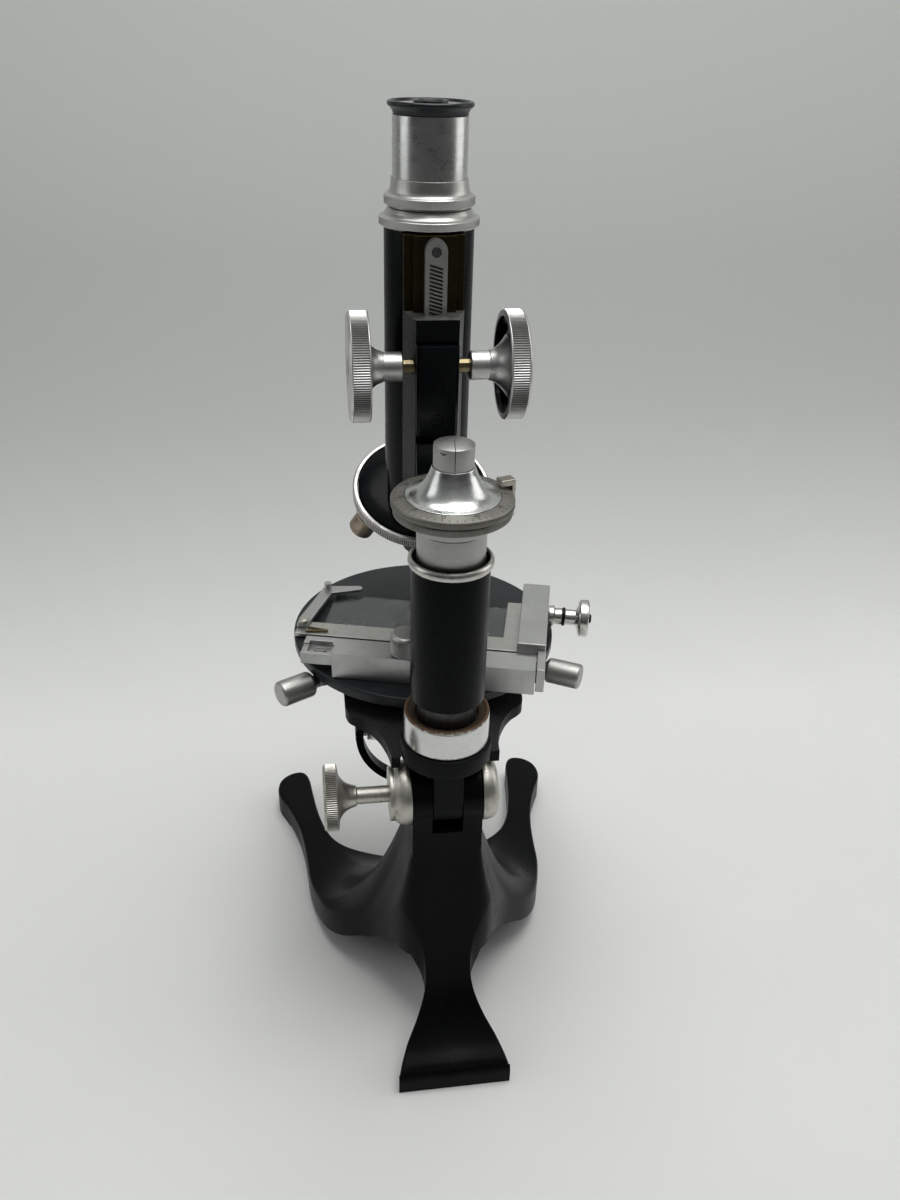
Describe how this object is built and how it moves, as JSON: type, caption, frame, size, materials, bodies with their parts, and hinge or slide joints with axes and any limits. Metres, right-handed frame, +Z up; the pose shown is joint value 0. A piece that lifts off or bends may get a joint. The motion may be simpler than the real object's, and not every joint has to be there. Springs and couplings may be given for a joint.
{
  "type": "microscope",
  "caption": "Upright monocular microscope: cast Y foot, tilting limb, pillar with fine focus drum, rack-driven tube, turret of objectives, round stage with slide mover, tilting mirror.",
  "frame": {"origin": "centre of the footprint bounding box, on the table the foot stands on", "axes": "+Z up along the tube; the pillar stands on the -Y side and the stage on the +Y side; +X to the right of a person at the eyepiece behind the pillar"},
  "size_m": [0.1396, 0.1844, 0.3409],
  "materials": {
    "cast": "black stove enamel on cast iron, satin",
    "japan": "black lacquer on brass, glossy",
    "crackle": "black crackle paint",
    "ebonite": "hard black rubber, satin",
    "chrome": "polished plate with smears",
    "satin": "satin plated brass",
    "nickel": "yellowed nickel plate",
    "old_nickel": "worn lacquered nickel",
    "steel": "bright steel",
    "bronze": "browned bronze",
    "brass": "bare brass",
    "lens": "clear polished glass",
    "mirror": "silvered glass"
  },
  "bodies": {
    "stand": {"base_casting": "cast", "hinge_cap_left": "nickel", "hinge_cap_right": "nickel"},
    "clamp": {"clamp_screw": "nickel"},
    "limb": {"limb_boss": "japan", "stage_bracket": "crackle", "pillar_cup": "chrome", "prism_column": "steel", "stage_carrier": "japan", "mirror_bar": "japan"},
    "centring_left": {"centring_screw_left": "satin"},
    "centring_right": {"centring_screw_right": "satin"},
    "turntable": {"stage_disc": "ebonite", "cross_bar": "satin"},
    "x_pinion": {"x_drum": "satin"},
    "x_carriage": {"x_rail": "satin", "rail_screw": "steel", "y_block": "satin"},
    "y_pinion": {"y_knob": "chrome"},
    "y_carriage": {"holder_plate": "steel", "finger_screw": "nickel", "finger_spring": "brass", "glass_slide": "lens"},
    "finger": {"slide_finger": "satin"},
    "fork": {"mirror_fork": "japan"},
    "mirror": {"mirror_cell": "nickel", "mirror_flat": "mirror", "mirror_concave": "mirror"},
    "sleeve": {"pillar_sleeve": "japan", "sleeve_top_ring": "chrome", "neck_collar": "satin", "limb_arm": "japan", "bearing_cap": "japan", "bearing_screw_upper": "japan", "bearing_screw_lower": "japan", "pointer": "nickel"},
    "fine_head": {"fine_drum": "satin", "fine_bell": "chrome", "fine_cap": "satin", "micrometer_screw": "steel"},
    "pinion": {"pinion_shaft": "brass", "coarse_knob_left": "satin", "coarse_knob_right": "satin"},
    "tube": {"body_tube": "japan", "dovetail_slide": "bronze", "rack": "steel", "rack_screw": "steel", "tube_collar": "chrome", "draw_collar": "chrome", "nosepiece_plate": "japan"},
    "draw": {"draw_tube": "chrome"},
    "eyepiece": {"eyepiece_cap": "ebonite", "eyepiece_tube": "brass", "eye_lens": "lens", "field_lens": "lens"},
    "revolver": {"revolver_shell": "satin", "objective_active": "ebonite", "objective_left": "old_nickel", "objective_right": "old_nickel", "objective_front": "nickel"}
  },
  "joints": [
    {"name": "clamp_turn", "type": "hinge", "parent": "stand", "child": "clamp", "pos_m": [-0.00049, -0.04325, 0.11], "axis": [1, 0, 0], "continuous": true},
    {"name": "inclination", "type": "hinge", "parent": "stand", "child": "limb", "pos_m": [-0.00049, -0.04325, 0.11], "axis": [1, 0, 0], "range_deg": [0, 90]},
    {"name": "centring_left_turn", "type": "hinge", "parent": "limb", "child": "centring_left", "pos_m": [-0.00049, 0.02915, 0.13105], "axis": [-0.8746, -0.4848, 0], "range_deg": [-180, 180]},
    {"name": "centring_right_turn", "type": "hinge", "parent": "limb", "child": "centring_right", "pos_m": [-0.00049, 0.02915, 0.13105], "axis": [0.8746, -0.4848, 0], "range_deg": [-180, 180]},
    {"name": "stage_turn", "type": "hinge", "parent": "limb", "child": "turntable", "pos_m": [-0.00049, 0.02915, 0.137], "axis": [0, 0, 1], "range_deg": [-8, 30]},
    {"name": "cross_travel", "type": "slide", "parent": "turntable", "child": "x_carriage", "axis": [0.9681, -0.2504, 0], "range_m": [0, 0.026]},
    {"name": "cross_drum_turn", "type": "hinge", "parent": "turntable", "child": "x_pinion", "pos_m": [-0.01205, -0.00918, 0.15], "axis": [0, 0, 1], "range_deg": [-416, 2]},
    {"name": "forward_travel", "type": "slide", "parent": "x_carriage", "child": "y_carriage", "axis": [0.2504, 0.9681, 0], "range_m": [-0.008, 0.012]},
    {"name": "forward_knob_turn", "type": "hinge", "parent": "x_carriage", "child": "y_pinion", "pos_m": [0.05886, 0.01897, 0.1459], "axis": [0.9681, -0.2504, 0], "range_deg": [-179, 267]},
    {"name": "finger_swing", "type": "hinge", "parent": "y_carriage", "child": "finger", "pos_m": [-0.05097, 0.03043, 0.1425], "axis": [0, 0, 1], "range_deg": [0, 16], "stiffness_Nm_per_rad": 0.004, "springref_deg": -20.05},
    {"name": "fork_turn", "type": "hinge", "parent": "limb", "child": "fork", "pos_m": [-0.00049, 0.02915, 0.05], "axis": [0, 0, 1], "range_deg": [-60, 60]},
    {"name": "mirror_tilt", "type": "hinge", "parent": "fork", "child": "mirror", "pos_m": [-0.00049, 0.02915, 0.0835], "axis": [1, 0, 0], "range_deg": [-45, 100]},
    {"name": "fine_travel", "type": "slide", "parent": "limb", "child": "sleeve", "axis": [0, 0, 1], "range_m": [-0.0012, 0.0012]},
    {"name": "fine_head_turn", "type": "hinge", "parent": "sleeve", "child": "fine_head", "pos_m": [-0.00049, -0.04325, 0.229], "axis": [0, 0, 1], "range_deg": [-1082, 1082]},
    {"name": "coarse_travel", "type": "slide", "parent": "sleeve", "child": "tube", "axis": [0, 0, 1], "range_m": [-0.018, 0.03]},
    {"name": "coarse_knob_turn", "type": "hinge", "parent": "sleeve", "child": "pinion", "pos_m": [-0.00049, 0.00425, 0.2597], "axis": [1, 0, 0], "range_deg": [-314, 522]},
    {"name": "draw_travel", "type": "slide", "parent": "tube", "child": "draw", "axis": [0, 0, 1], "range_m": [-0.019, 0.04]},
    {"name": "eyepiece_lift", "type": "slide", "parent": "draw", "child": "eyepiece", "axis": [0, 0, 1], "range_m": [0, 0.03]},
    {"name": "nosepiece_turn", "type": "hinge", "parent": "tube", "child": "revolver", "pos_m": [-0.00049, 0.04015, 0.1986], "axis": [0, -0.4368, 0.8996], "continuous": true}
  ],
  "couplings": [
    {"joint": "cross_drum_turn", "follows": "cross_travel", "rad_per_m": -277.78},
    {"joint": "forward_knob_turn", "follows": "forward_travel", "rad_per_m": 384.62},
    {"joint": "fine_head_turn", "follows": "fine_travel", "rad_per_m": -15708},
    {"joint": "coarse_knob_turn", "follows": "coarse_travel", "rad_per_m": 302.08}
  ]
}
